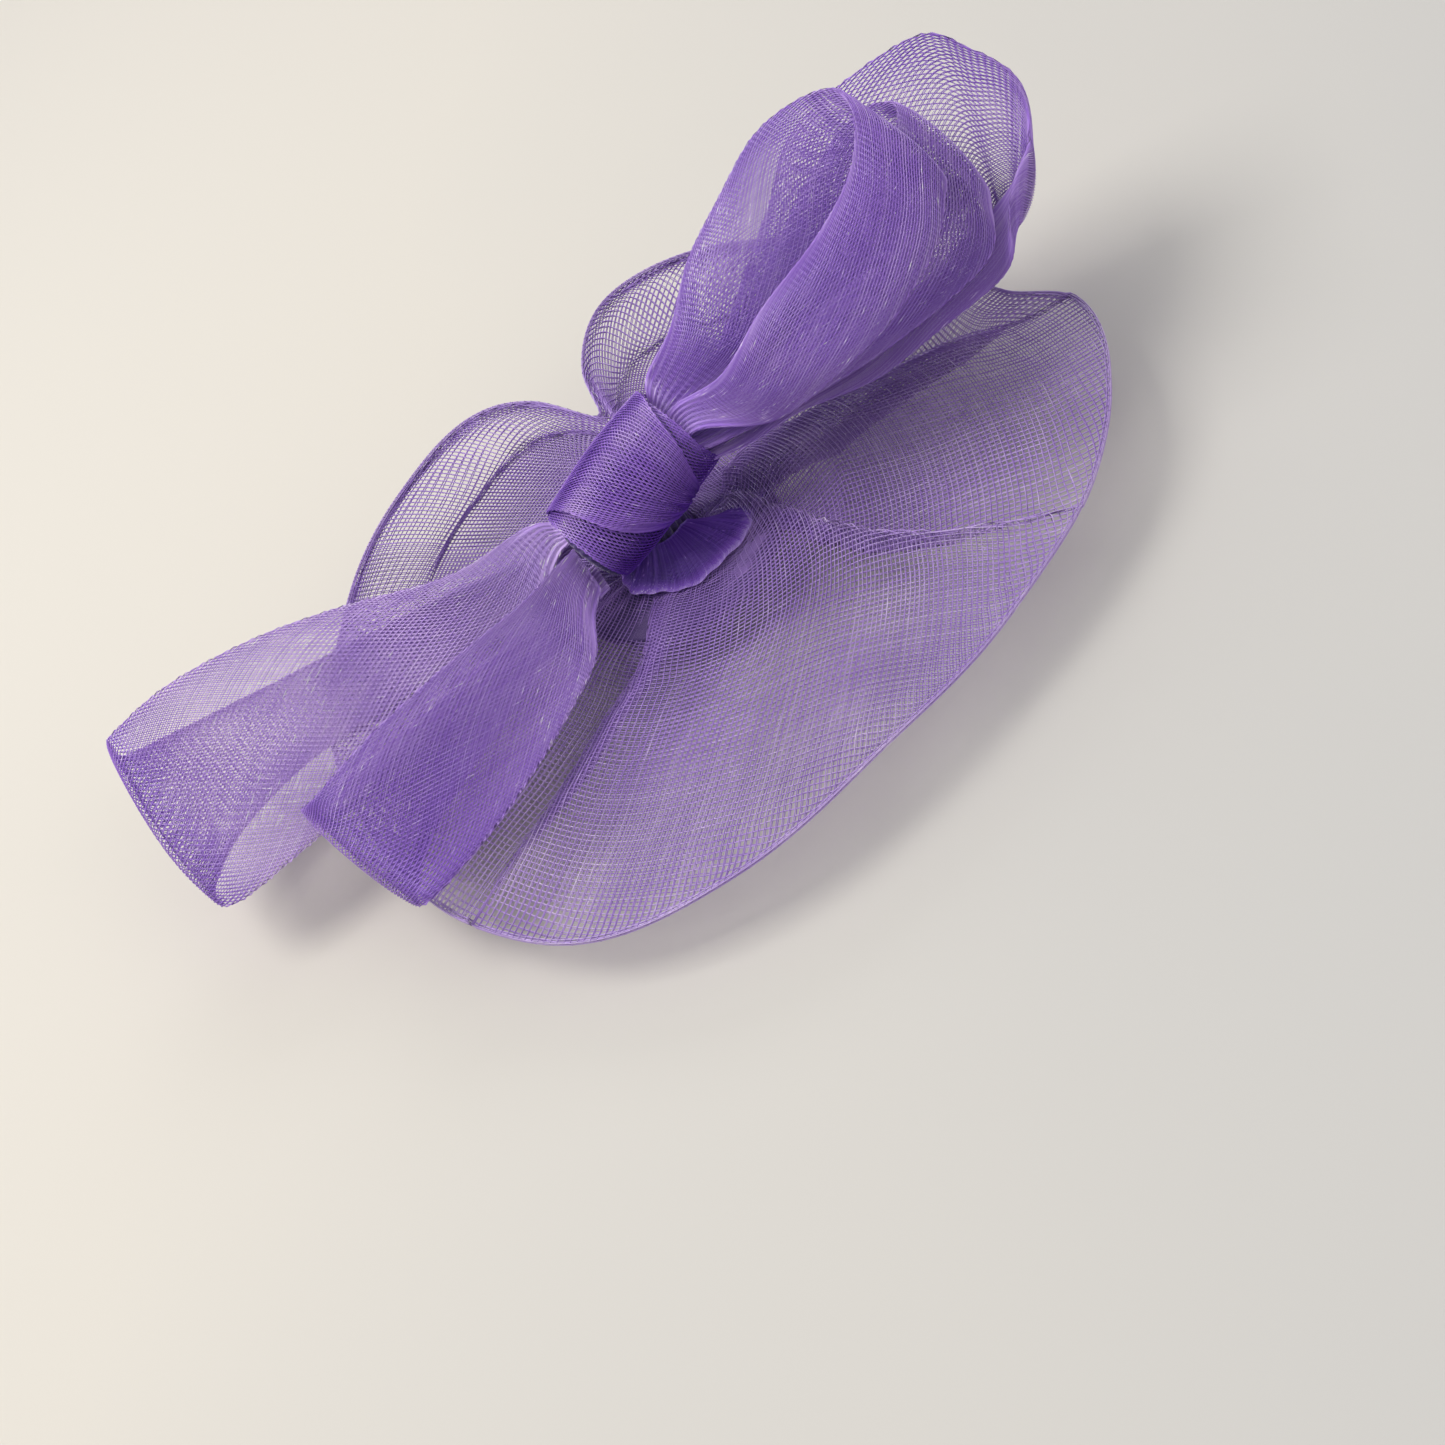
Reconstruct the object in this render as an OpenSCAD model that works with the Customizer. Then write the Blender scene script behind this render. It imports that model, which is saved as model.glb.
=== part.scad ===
// Crin bow fascinator on a felt pad, held in the hair by a sprung beak clip.
// Origin: centre of the pad's underside, where it sits on the head. +Z away from the head,
// +X along the bow towards its tall loops.

/* [Pad] */
// Diameter of the top felt pad
pad_d = 60; // [50:1:70]
// Thickness of the top felt pad
pad_t = 2.5; // [2:0.1:3]
// Diameter of the backing felt under the pad
backing_d = 56; // [52:1:58]
// Thickness of the backing felt
backing_t = 1.2; // [1:0.1:1.5]

/* [Crin] */
// Thickness of the flattened crin tube in the bow
band_t = 1.4; // [1:0.1:1.6]
// Thickness of the brim
brim_t = 2; // [1.5:0.1:2.2]
// Radius of the gathered hole in the middle of the brim
brim_hole_r = 10; // [9.6:0.1:11]
// Height of the middle of the brim above the origin
brim_mid_z = 5.2; // [5:0.1:5.4]

/* [Knot] */
// Length of the knot along the bow
knot_l = 38; // [34:1:40]
// Width of the knot across the bow
knot_w = 27; // [25:1:28]
// Height of the knot
knot_h = 22; // [20:1:22]
// Thickness of the wrapped band of the knot
knot_t = 1.8; // [1:0.1:2.5]
// Tilt of the knot and bow above the pad, in degrees
knot_tilt = 22; // [18:1:24]

/* [Clip] */
// Length of the clip's top plate
plate_l = 48; // [40:1:50]
// Width of the clip's top plate
plate_w = 9; // [8.8:0.1:10]
// Sheet thickness of the clip
sheet_t = 0.8; // [0.6:0.1:0.8]
// Width of the clip's lower jaw
jaw_w = 7.2; // [6.8:0.1:7.2]
// Diameter of the hinge pin
pin_d = 1.5; // [1.3:0.1:1.5]
// Distance of the hinge axis in front of the pad's centre
hinge_x = 6; // [4:1:8]
// Depth of the hinge axis below the pad's underside
hinge_drop = 4.2; // [4:0.1:4.5]

/* [Hidden] */

lilac = [0.55, 0.42, 0.72];
deep_lilac = [0.40, 0.27, 0.60];
thread_colour = [0.36, 0.24, 0.55];
felt_colour = [0.42, 0.30, 0.58];
steel = [0.75, 0.75, 0.77];

// Bow bands: each row is [centre x, y, z, half-width x, y, z, camber], along the band from
// the knot, round its turn and back to the knot.
front_loop_path = [
    [15.8, 5.5, 38, 0, 5.8, 0, 0], [21, 7, 41, -2, 7, 2, 0], [37, 12, 42, -6, 11, 3, 2],
    [52, 14, 49, -8, 14, 6, 4], [68, 14, 56, -10, 16, 7, 5], [82, 12, 64, -8, 17, 9, 5],
    [93, 6, 68, -6, 16, 10, 3], [97, -2, 70, -3, 14, 10, 0], [95, -10, 69, -3, 12, 8, -3],
    [86, -18, 63, -3, 12, 7, -4], [70, -22, 56, -2, 12, 7, -5], [52, -22, 50, -3, 11, 6, -4],
    [35, -16, 41, -2, 7, 5, -2], [21, -7, 40, -1, 6, 1, 0], [15.8, -6.5, 38, 0, 5.2, 0, 0]
];
middle_loop_path = [
    [17.6, 5.5, 33.5, 0, 6, 0, 0], [25, 9, 33, -1, 6.5, 1, 0], [50, 16, 28, -4, 8, 4, 2],
    [72, 20, 34, -6, 12, 7, 4], [91, 20, 42, -5, 14, 11, 5], [104, 17, 49, -4, 13, 12, 4],
    [109, 10, 53, -4, 12, 11, 0], [108, 3, 53, -2, 13, 11, -3], [101, -4, 47, -3, 14, 10, -4],
    [88, -6, 41, -4, 14, 7, -4], [68, -7, 36, -3, 13, 4, -3], [46, -8, 32, -3, 9, 1, -1],
    [25, -8, 33.5, -1, 5.5, 1, 0], [17.6, -6.5, 33.5, 0, 5.5, 0, 0]
];
back_loop_path = [
    [19.5, 5.5, 29, 0, 5.5, 0, 0], [29, 11, 26, -1, 6.5, 1, 0], [52, 21, 22, -5, 12, 9, 2],
    [76, 25, 29, -5, 17, 17, 4], [96, 26, 39, -7, 20, 20, 5],
    [118, 19.5, 48.5, 4, 15.5, 18.5, 4], [123.5, 13, 46, 8.5, 13, 14, 2],
    [126.5, 6, 43.5, 10.5, 11, 8.5, 0], [124.5, -1.5, 41.5, 9.5, 9.5, 4.5, -1],
    [119, -8, 39, 8, 8, 4, -2], [110, -12.5, 35, 7, 7.5, 5, -2],
    [91.5, -13, 31.5, 9.5, 8, 3.5, -3], [72, -11.5, 27.5, 8, 6.5, 2.5, -2],
    [50, -8, 26, 6, 5, -1, -1], [31, -7.5, 28.5, 1, 5.5, 1, 0], [19.5, -6.5, 29, 0, 5.5, 0, 0]
];
long_tail_path = [
    [-21, 5, 24.5, 0, 5.5, 0, 0], [-27, 7, 24, -1, 7, 2, 0], [-48, 4, 19, -3, 15, 5, 2],
    [-78, 7, 20, -1, 24, 7, 3], [-101, 7, 22, -3, 30, 9, 3], [-124, 6, 23, -5, 32, 11, 2],
    [-141, 3, 23, -5, 30, 12, 0], [-147, 6, 21, -4, 28, 11, -2], [-147, 12, 17, -4, 22, 9, -2],
    [-135, 17, 16, -3, 17, 7, -3], [-111, 18, 16, -2, 13, 5, -2], [-81, 16, 15, -2, 11, 4, -2],
    [-52, 12, 15, -1, 7, 4, -1], [-19, 5, 18, 0, 4, 0, 0]
];
short_tail_path = [
    [-21, -7, 19.5, 0, 5, 4, 0], [-27, -12.5, 20, -1, 7.5, 4, 0], [-36, -22, 20, -4, 10, 6, 2],
    [-55, -30, 20, -8, 15, 6, 3], [-75, -38, 20, -12, 18, 6, 3], [-93, -45, 19, -13, 20, 5, 2],
    [-103, -46, 17, -8, 23, 4, 0], [-104, -39, 14, -7, 18, 6, -2],
    [-90, -31, 14, -5, 12, 4, -2], [-64, -21, 14, -3, 8, 3, -2], [-38, -13, 14.5, -1, 4, 2.5, -1],
    [-26, -9.5, 15.5, 0, 4, 1.5, 0], [-19, -6, 14.5, 0, 4, 1.5, 0]
];

// Edge of the brim: [angle, radius, height], anticlockwise seen from above.
rim = [
    [4, 109, 8], [20, 108, 9], [38, 109, 13], [60, 104, 19], [72, 101, 20], [80, 91, 20],
    [87, 76, 17], [92, 60, 12], [99, 76, 18], [108, 87, 19], [126, 92, 17], [143, 97, 13],
    [182, 103, 8], [206, 110, 6], [221, 117, 5], [236, 121, 5], [255, 116, 6], [277, 107, 7],
    [299, 108, 8], [320, 115, 8], [334, 119, 8], [353, 121, 8]
];

samples = 4;
brim_rows = 8;
band_ring = 12;
thread_r = 0.4;
slack = 0.2;
pad_top = backing_t + pad_t;
knot_mid = [-1, 0, 27];
groove_l = 8;
groove_t = 1;
pin_r = pin_d / 2;
hinge_z = -hinge_drop;
ear_t = 0.6;
ear_gap = 0.2;
ear_r = 1.9;
plate_back_x = hinge_x + 16;
plate_front_x = plate_back_x - plate_l;
jaw_top_z = hinge_z - 1.7;
jaw_tip_z = -sheet_t - slack;
jaw_tail_z = jaw_top_z - 3.7;
wire_r = 0.225;
coil_r = 1.15;
coil_turns = 5;

// Catmull-Rom value at u (0 to 1) between rows b and c.
function spline(a, b, c, d, u) =
    0.5 * (2 * b + (c - a) * u + (2 * a - 5 * b + 4 * c - d) * u * u
    + (3 * b - a - 3 * c + d) * u * u * u);

// Row i of an open list, carried straight on past both ends.
function row(list, i) =
    i < 0 ? 2 * list[0] - list[1]
    : i >= len(list) ? 2 * list[len(list) - 1] - list[len(list) - 2]
    : list[i];

// Row i of a closed ring of rows whose first value is an angle.
function ring_row(list, i) =
    i < 0 ? list[i + len(list)] - [360, 0, 0]
    : i >= len(list) ? list[i - len(list)] + [360, 0, 0]
    : list[i];

function smooth(list, n) = [
    for (i = [0 : n * (len(list) - 1)])
        let (j = min(floor(i / n), len(list) - 2))
        spline(row(list, j - 1), row(list, j), row(list, j + 1), row(list, j + 2), i / n - j)
];

function smooth_ring(list, n) = [
    for (i = [0 : n * len(list) - 1])
        let (j = floor(i / n))
        spline(ring_row(list, j - 1), ring_row(list, j), ring_row(list, j + 1),
            ring_row(list, j + 2), i / n - j)
];

function unit(v) = v / norm(v);
function centre(r) = [r[0], r[1], r[2]];
function half_width(r) = [r[3], r[4], r[5]];

// Faces of a stack of closed rings with flat ends.
function ring_faces(rings, n) = concat(
    [[for (k = [0 : n - 1]) k]],
    [for (i = [0 : rings - 2], k = [0 : n - 1], t = [0, 1])
        let (a = i * n + k, b = i * n + (k + 1) % n)
        t == 0 ? [a, a + n, b + n] : [a, b + n, b]],
    [[for (k = [n - 1 : -1 : 0]) (rings - 1) * n + k]]
);

// Flattened tube along a band path: an ellipse of the path's width, cambered to one side.
module band(path) {
    rows = smooth(path, samples);
    last = len(rows) - 1;
    points = [
        for (i = [0 : last])
            let (
                along = centre(rows[min(i + 1, last)]) - centre(rows[max(i - 1, 0)]),
                w = half_width(rows[i]),
                up = unit(cross(along, w))
            )
            for (k = [0 : band_ring - 1])
                let (a = 360 * k / band_ring, s = cos(a))
                centre(rows[i]) + s * w
                + up * (rows[i][6] * (1 - s * s) + band_t / 2 * sin(a))
    ];
    polyhedron(points, ring_faces(last + 1, band_ring), convexity = 6);
}

// Round-sided section of the knot, shrunk by inset, drawn across the bow.
module knot_section(inset) {
    side = (knot_w - knot_h) / 2;
    r = knot_h / 2 - inset;
    square([2 * side, 2 * r], center = true);
    for (s = [-side, side])
        translate([s, 0])
            circle(r, $fn = 48);
}

// Extrusion of length l along the bow's axis, centred in the knot.
module along_bow(l) {
    translate(knot_mid)
        rotate([0, 90 - knot_tilt, 0])
            rotate(90)
                linear_extrude(l, center = true)
                    children();
}

module crosswise(x, z, r, l) {
    translate([x, 0, z])
        rotate([90, 0, 0])
            cylinder(r = r, h = l, center = true, $fn = 32);
}

module brim() {
    edge = smooth_ring(rim, samples);
    n = len(edge);
    points = [
        for (side = [-1, 1], q = [0 : brim_rows], e = edge)
            let (
                f = q / brim_rows,
                r = brim_hole_r + f * (e[1] - brim_hole_r),
                z = brim_mid_z + (e[2] - brim_mid_z) * f * f
            )
            [r * cos(e[0]), r * sin(e[0]), z + side * brim_t / 2 * (1 - 0.5 * f)]
    ];
    top = (brim_rows + 1) * n;
    strips = concat(
        [for (q = [0 : brim_rows - 1]) [q * n, (q + 1) * n]],
        [for (q = [0 : brim_rows - 1]) [top + (q + 1) * n, top + q * n]],
        [[top, 0], [brim_rows * n, top + brim_rows * n]]
    );
    faces = [
        for (s = strips, k = [0 : n - 1], t = [0, 1])
            let (j = (k + 1) % n)
            t == 0 ? [s[0] + k, s[1] + k, s[1] + j] : [s[0] + k, s[1] + j, s[0] + j]
    ];
    color(lilac)
        polyhedron(points, faces, convexity = 6);
}

// Puff of the brim's gathered middle, round the lower side of the knot.
module brim_collar() {
    first = -160;
    last = 70;
    steps = 24;
    bottom = brim_mid_z + brim_t / 2 + slack;
    points = [
        for (i = [0 : steps])
            let (
                a = first + (last - first) * i / steps,
                swell = 0.35 + 0.65 * sqrt(sin(180 * (i + 0.5) / (steps + 1))),
                h = (15 + 3 * cos(a) - bottom) / 2 * swell,
                w = 6.3 * swell,
                r = brim_hole_r + w
            )
            for (k = [0 : band_ring - 1])
                let (t = 360 * k / band_ring)
                [(r + w * cos(t)) * cos(a), (r + w * cos(t)) * sin(a), bottom + h * (1 + sin(t))]
    ];
    color(deep_lilac)
        polyhedron(points, ring_faces(steps + 1, band_ring), convexity = 4);
}

// The squeezed crin under the knot, cut to the knot's underside.
module gathered_stalk() {
    r = brim_hole_r - 1.5;
    color(deep_lilac)
        difference() {
            translate([0, 0, pad_top])
                cylinder(r = r, h = 20, $fn = 48);
            along_bow(60)
                knot_section(0);
            translate([knot_mid[0], 0, knot_mid[2]])
                rotate([0, -knot_tilt, 0])
                    translate([-40, -20, 0])
                        cube([80, 40, 30]);
        }
}

module gather_thread() {
    color(thread_colour)
        translate([0, 0, brim_mid_z])
            rotate_extrude($fn = 48)
                translate([brim_hole_r - 0.7, 0])
                    circle(thread_r, $fn = 16);
}

module front_loop() {
    color(lilac)
        band(front_loop_path);
}

module middle_loop() {
    color(lilac)
        band(middle_loop_path);
}

module back_loop() {
    color(lilac)
        band(back_loop_path);
}

module long_tail() {
    color(lilac)
        band(long_tail_path);
}

module short_tail() {
    color(lilac)
        band(short_tail_path);
}

// Bundle of all the bow's bands inside the knot, waisted where the thread binds it.
module knot_core() {
    color(deep_lilac)
        difference() {
            along_bow(knot_l)
                knot_section(knot_t);
            along_bow(groove_l)
                difference() {
                    knot_section(0);
                    knot_section(knot_t + groove_t);
                }
        }
}

module binding_thread() {
    color(thread_colour)
        along_bow(groove_l)
            difference() {
                knot_section(knot_t);
                knot_section(knot_t + groove_t);
            }
}

module knot_band() {
    color(deep_lilac)
        along_bow(knot_l)
            difference() {
                knot_section(0);
                knot_section(knot_t);
            }
}

// Stitches that hold the bow down through the stalk and both felts.
module bow_stitches() {
    color(thread_colour)
        for (x = [-4, 4], y = [-3, 3])
            translate([x, y, 0])
                cylinder(r = thread_r, h = 12, $fn = 16);
}

module felt_pad() {
    color(felt_colour)
        translate([0, 0, backing_t])
            cylinder(d = pad_d, h = pad_t, $fn = 96);
}

module backing_felt() {
    color(felt_colour)
        cylinder(d = backing_d, h = backing_t, $fn = 96);
}

// Ears with holes for the hinge pin: inner faces at y, hanging from z_root to the axis.
module ears(y, z_root, hole_r) {
    for (s = [-1, 1])
        translate([hinge_x, s * (y + ear_t / 2), hinge_z])
            rotate([90, 0, 0])
                difference() {
                    union() {
                        cylinder(r = ear_r, h = ear_t, center = true, $fn = 32);
                        translate([-ear_r, min(0, z_root - hinge_z), -ear_t / 2])
                            cube([2 * ear_r, abs(z_root - hinge_z), ear_t]);
                    }
                    cylinder(r = hole_r, h = 2, center = true, $fn = 32);
                }
}

module clip_plate() {
    tip = plate_w / 2;
    color(steel) {
        translate([0, 0, -sheet_t])
            linear_extrude(sheet_t)
                union() {
                    translate([plate_front_x + tip, -tip])
                        square([plate_l - tip, plate_w]);
                    translate([plate_front_x + tip, 0])
                        circle(tip, $fn = 48);
                }
        ears(jaw_w / 2 + ear_gap, -sheet_t / 2, pin_r);
    }
}

// Side outline of the jaw: tip, belly under the pin, and the finger lever behind it.
module jaw_side() {
    top = [
        [plate_front_x, jaw_tip_z], [hinge_x - 3, jaw_top_z], [hinge_x + 2, jaw_top_z],
        [plate_back_x, jaw_tail_z]
    ];
    polygon(concat(top, [for (i = [3 : -1 : 0]) top[i] - [0, sheet_t]]));
}

module clip_jaw() {
    prong_gap = 2.6;
    color(steel) {
        difference() {
            rotate([90, 0, 0])
                linear_extrude(jaw_w, center = true)
                    jaw_side();
            translate([plate_front_x - 1, -prong_gap / 2, -10])
                cube([22, prong_gap, 12]);
            for (i = [0 : 4])
                crosswise(plate_front_x + 2 + 2 * i, jaw_tip_z - 0.3 * i, 0.35, jaw_w + 1);
        }
        ears(jaw_w / 2 - ear_t, jaw_top_z - sheet_t / 2, pin_r + 0.05);
    }
}

module clip_pin() {
    head_y = jaw_w / 2 + ear_gap + ear_t;
    head_t = 0.5;
    color(steel) {
        crosswise(hinge_x, hinge_z, pin_r, 2 * head_y);
        for (s = [-1, 1])
            translate([0, s * (head_y + head_t / 2), 0])
                crosswise(hinge_x, hinge_z, pin_r + 0.5, head_t);
    }
}

// Torsion spring round the pin: close turns, with one leg under the plate.
module clip_spring() {
    pitch = 2 * wire_r;
    color(steel) {
        for (i = [0 : coil_turns - 1])
            translate([hinge_x, (i - (coil_turns - 1) / 2) * pitch, hinge_z])
                rotate([90, 0, 0])
                    rotate_extrude($fn = 32)
                        translate([coil_r, 0])
                            circle(wire_r, $fn = 16);
        translate([hinge_x, (coil_turns - 1) / 2 * pitch, hinge_z + coil_r])
            rotate([0, 90 - 11, 0])
                cylinder(r = wire_r, h = 10, $fn = 16);
    }
}

// Each stitch crosses under the plate and runs up into the felt on both sides.
module clip_stitches() {
    side = plate_w / 2 + thread_r + 0.1;
    drop = -sheet_t - thread_r;
    color(thread_colour)
        for (x = [plate_front_x + 9, plate_front_x + 14, hinge_x + 6, hinge_x + 11]) {
            crosswise(x, drop, thread_r, 2 * side);
            for (s = [-side, side])
                translate([x, s, drop])
                    cylinder(r = thread_r, h = backing_t / 2 - drop, $fn = 16);
        }
}

brim();
brim_collar();
gathered_stalk();
gather_thread();
front_loop();
middle_loop();
back_loop();
long_tail();
short_tail();
knot_core();
binding_thread();
knot_band();
bow_stitches();
felt_pad();
backing_felt();
clip_plate();
clip_jaw();
clip_pin();
clip_spring();
clip_stitches();
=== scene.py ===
"""Crin bow fascinator: every crin piece is its real braid, strand by strand."""
import math
from collections import namedtuple

import bpy
import numpy as np
from mathutils import Matrix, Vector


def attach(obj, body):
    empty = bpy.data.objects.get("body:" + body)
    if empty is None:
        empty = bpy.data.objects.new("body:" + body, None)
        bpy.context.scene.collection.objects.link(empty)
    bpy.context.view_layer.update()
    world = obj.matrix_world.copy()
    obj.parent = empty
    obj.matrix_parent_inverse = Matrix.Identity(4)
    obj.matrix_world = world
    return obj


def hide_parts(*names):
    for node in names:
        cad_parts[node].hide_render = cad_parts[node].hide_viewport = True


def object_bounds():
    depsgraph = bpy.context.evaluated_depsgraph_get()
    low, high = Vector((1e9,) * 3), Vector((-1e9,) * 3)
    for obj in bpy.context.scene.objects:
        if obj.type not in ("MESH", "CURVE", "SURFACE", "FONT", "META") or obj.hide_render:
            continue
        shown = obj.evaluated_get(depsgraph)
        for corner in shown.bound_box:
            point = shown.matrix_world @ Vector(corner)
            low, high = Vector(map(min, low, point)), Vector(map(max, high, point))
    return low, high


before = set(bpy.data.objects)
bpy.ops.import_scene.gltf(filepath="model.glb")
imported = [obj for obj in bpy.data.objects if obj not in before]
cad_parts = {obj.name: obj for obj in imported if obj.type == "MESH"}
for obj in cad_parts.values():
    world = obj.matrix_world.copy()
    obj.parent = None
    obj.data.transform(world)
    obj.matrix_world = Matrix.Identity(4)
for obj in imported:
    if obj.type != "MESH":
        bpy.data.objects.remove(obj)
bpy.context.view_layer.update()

MM = 0.001
TAU = 2 * math.pi
rng = np.random.default_rng(7)

# ---------------- bow and brim, in millimetres
# Bow bands: each row is [centre x, y, z, half-width x, y, z, camber], from the knot round the
# band's turn and back to the knot, as in the CAD model.
FRONT_LOOP = [
    [15.8, 5.5, 38, 0, 5.8, 0, 0], [21, 7, 41, -2, 7, 2, 0], [37, 12, 42, -6, 11, 3, 2],
    [52, 14, 49, -8, 14, 6, 4], [68, 14, 56, -10, 16, 7, 5], [82, 12, 64, -8, 17, 9, 5],
    [93, 6, 68, -6, 16, 10, 3], [97, -2, 70, -3, 14, 10, 0], [95, -10, 69, -3, 12, 8, -3],
    [86, -18, 63, -3, 12, 7, -4], [70, -22, 56, -2, 12, 7, -5], [52, -22, 50, -3, 11, 6, -4],
    [35, -16, 41, -2, 7, 5, -2], [21, -7, 40, -1, 6, 1, 0], [15.8, -6.5, 38, 0, 5.2, 0, 0],
]
MIDDLE_LOOP = [
    [17.6, 5.5, 33.5, 0, 6, 0, 0], [25, 9, 33, -1, 6.5, 1, 0], [50, 16, 28, -4, 8, 4, 2],
    [72, 20, 34, -6, 12, 7, 4], [91, 20, 42, -5, 14, 11, 5], [104, 17, 49, -4, 13, 12, 4],
    [109, 10, 53, -4, 12, 11, 0], [108, 3, 53, -2, 13, 11, -3], [101, -4, 47, -3, 14, 10, -4],
    [88, -6, 41, -4, 14, 7, -4], [68, -7, 36, -3, 13, 4, -3], [46, -8, 32, -3, 9, 1, -1],
    [25, -8, 33.5, -1, 5.5, 1, 0], [17.6, -6.5, 33.5, 0, 5.5, 0, 0],
]
BACK_LOOP = [
    [19.5, 5.5, 29, 0, 5.5, 0, 0], [29, 11, 26, -1, 6.5, 1, 0], [52, 21, 22, -5, 12, 9, 2],
    [76, 25, 29, -5, 17, 17, 4], [96, 26, 39, -7, 20, 20, 5],
    [118, 19.5, 48.5, 4, 15.5, 18.5, 4], [123.5, 13, 46, 8.5, 13, 14, 2],
    [126.5, 6, 43.5, 10.5, 11, 8.5, 0], [124.5, -1.5, 41.5, 9.5, 9.5, 4.5, -1],
    [119, -8, 39, 8, 8, 4, -2], [110, -12.5, 35, 7, 7.5, 5, -2],
    [91.5, -13, 31.5, 9.5, 8, 3.5, -3], [72, -11.5, 27.5, 8, 6.5, 2.5, -2],
    [50, -8, 26, 6, 5, -1, -1], [31, -7.5, 28.5, 1, 5.5, 1, 0], [19.5, -6.5, 29, 0, 5.5, 0, 0],
]
LONG_TAIL = [
    [-21, 5, 24.5, 0, 5.5, 0, 0], [-27, 7, 24, -1, 7, 2, 0], [-48, 4, 19, -3, 15, 5, 2],
    [-78, 7, 20, -1, 24, 7, 3], [-101, 7, 22, -3, 30, 9, 3], [-124, 6, 23, -5, 32, 11, 2],
    [-141, 3, 23, -5, 30, 12, 0], [-147, 6, 21, -4, 28, 11, -2], [-147, 12, 17, -4, 22, 9, -2],
    [-135, 17, 16, -3, 17, 7, -3], [-111, 18, 16, -2, 13, 5, -2], [-81, 16, 15, -2, 11, 4, -2],
    [-52, 12, 15, -1, 7, 4, -1], [-19, 5, 18, 0, 4, 0, 0],
]
SHORT_TAIL = [
    [-21, -7, 19.5, 0, 5, 4, 0], [-27, -12.5, 20, -1, 7.5, 4, 0], [-36, -22, 20, -4, 10, 6, 2],
    [-55, -30, 20, -8, 15, 6, 3], [-75, -38, 20, -12, 18, 6, 3], [-93, -45, 19, -13, 20, 5, 2],
    [-103, -46, 17, -8, 23, 4, 0], [-104, -39, 14, -7, 18, 6, -2],
    [-90, -31, 14, -5, 12, 4, -2], [-64, -21, 14, -3, 8, 3, -2], [-38, -13, 14.5, -1, 4, 2.5, -1],
    [-26, -9.5, 15.5, 0, 4, 1.5, 0], [-19, -6, 14.5, 0, 4, 1.5, 0],
]
# Edge of the brim: [angle, radius, height], anticlockwise seen from above.
RIM = [
    [4, 109, 8], [20, 108, 9], [38, 109, 13], [60, 104, 19], [72, 101, 20], [80, 91, 20],
    [87, 76, 17], [92, 60, 12], [99, 76, 18], [108, 87, 19], [126, 92, 17], [143, 97, 13],
    [182, 103, 8], [206, 110, 6], [221, 117, 5], [236, 121, 5], [255, 116, 6], [277, 107, 7],
    [299, 108, 8], [320, 115, 8], [334, 119, 8], [353, 121, 8],
]
BRIM_HOLE_R = 10.0
BRIM_MID_Z = 5.2

# ---------------- crin
BRAID_PITCH = 1.35         # between neighbouring strands, across them, as the tube is sold
TUBE_W = 78.0              # flat width of the bow's tube, as sold
STRAND_R = 0.15            # nylon monofilament of the bow
BRIM_STRAND_R = 0.163      # and of the brim
WALL_GAP = 1.5             # between the two walls of the flattened tube
SQUEEZED = 0.45            # share of that gap that is left at the knot
EDGE_TURN = 0.45           # how far the strands turn along the tube's edges
WEAVE = 0.8 * STRAND_R     # how far each family of strands stands off the wall's middle
SLANT = 1.35               # length of a strand for each mm of tube, about
SIDES = 3                  # of a strand's section
TONES = (0.34, 0.50)       # range of the strands' own tones, on the material's ramp
# Painted glints: points of the strands coloured near white, a painted highlight.
PAINTED_GLINTS = 0.02              # share of a strand's points that catch the light
UNEVEN = 0.025             # scatter of the strands, as a share of their spacing

KNOT_MID = np.array([-1.0, 0.0, 27.0])
KNOT_TILT = math.radians(22)
KNOT_L, KNOT_W, KNOT_H = 38.0, 27.0, 22.0
KNOT_GIRTH = math.pi * KNOT_H + 2 * (KNOT_W - KNOT_H)

PAD_TOP = 3.7              # upper face of the felt pad
FELT_JOIN = 1.2            # between the pad and the backing felt
HINGE = np.array([6.0, 0.0, -4.2])
THREAD_R = 0.4
THREAD_PLIES = 2
THREAD_LAY = 2.2           # length of one turn of the plies

ROOT = "root"


# ---------------- camera, lights, floor
def placed(side, up, back, position):
    """Matrix of an object with its axes along side, up and back, at a position in metres."""
    columns = [side, up, back, position]
    return Matrix([[c[i] for c in columns] for i in range(3)] + [[0, 0, 0, 1]])


def place_camera():
    """From the wearer's front, 42 degrees up, rolled as the head tilts."""
    elevation, roll = math.radians(42), math.radians(34.8)
    position = np.array([-15.0, -432.8, 334.5])
    back = np.array([0, -math.cos(elevation), math.sin(elevation)])
    right = np.array([1.0, 0, 0])
    up = np.cross(back, right)
    across = math.cos(roll) * right - math.sin(roll) * up
    upward = math.sin(roll) * right + math.cos(roll) * up
    data = bpy.data.cameras.new("camera")
    data.sensor_width = 36
    data.lens = 52.3
    data.clip_start = 0.01
    camera = bpy.data.objects.new("camera", data)
    camera.matrix_world = placed(across, upward, back, position * MM)
    bpy.context.scene.collection.objects.link(camera)
    bpy.context.scene.camera = camera


def area_light(name, position, size, power, colour):
    """A rectangular light that faces the middle of the headpiece. In metres and watts."""
    data = bpy.data.lights.new(name, "AREA")
    data.shape = "RECTANGLE"
    data.size, data.size_y = size
    data.energy = power
    data.color = colour
    light = bpy.data.objects.new(name, data)
    back = unit(np.array(position) - np.array([0, 0, 0.03]))
    side = unit(np.cross([0, 0, 1], back))
    light.matrix_world = placed(side, np.cross(back, side), back, position)
    bpy.context.scene.collection.objects.link(light)


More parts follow.
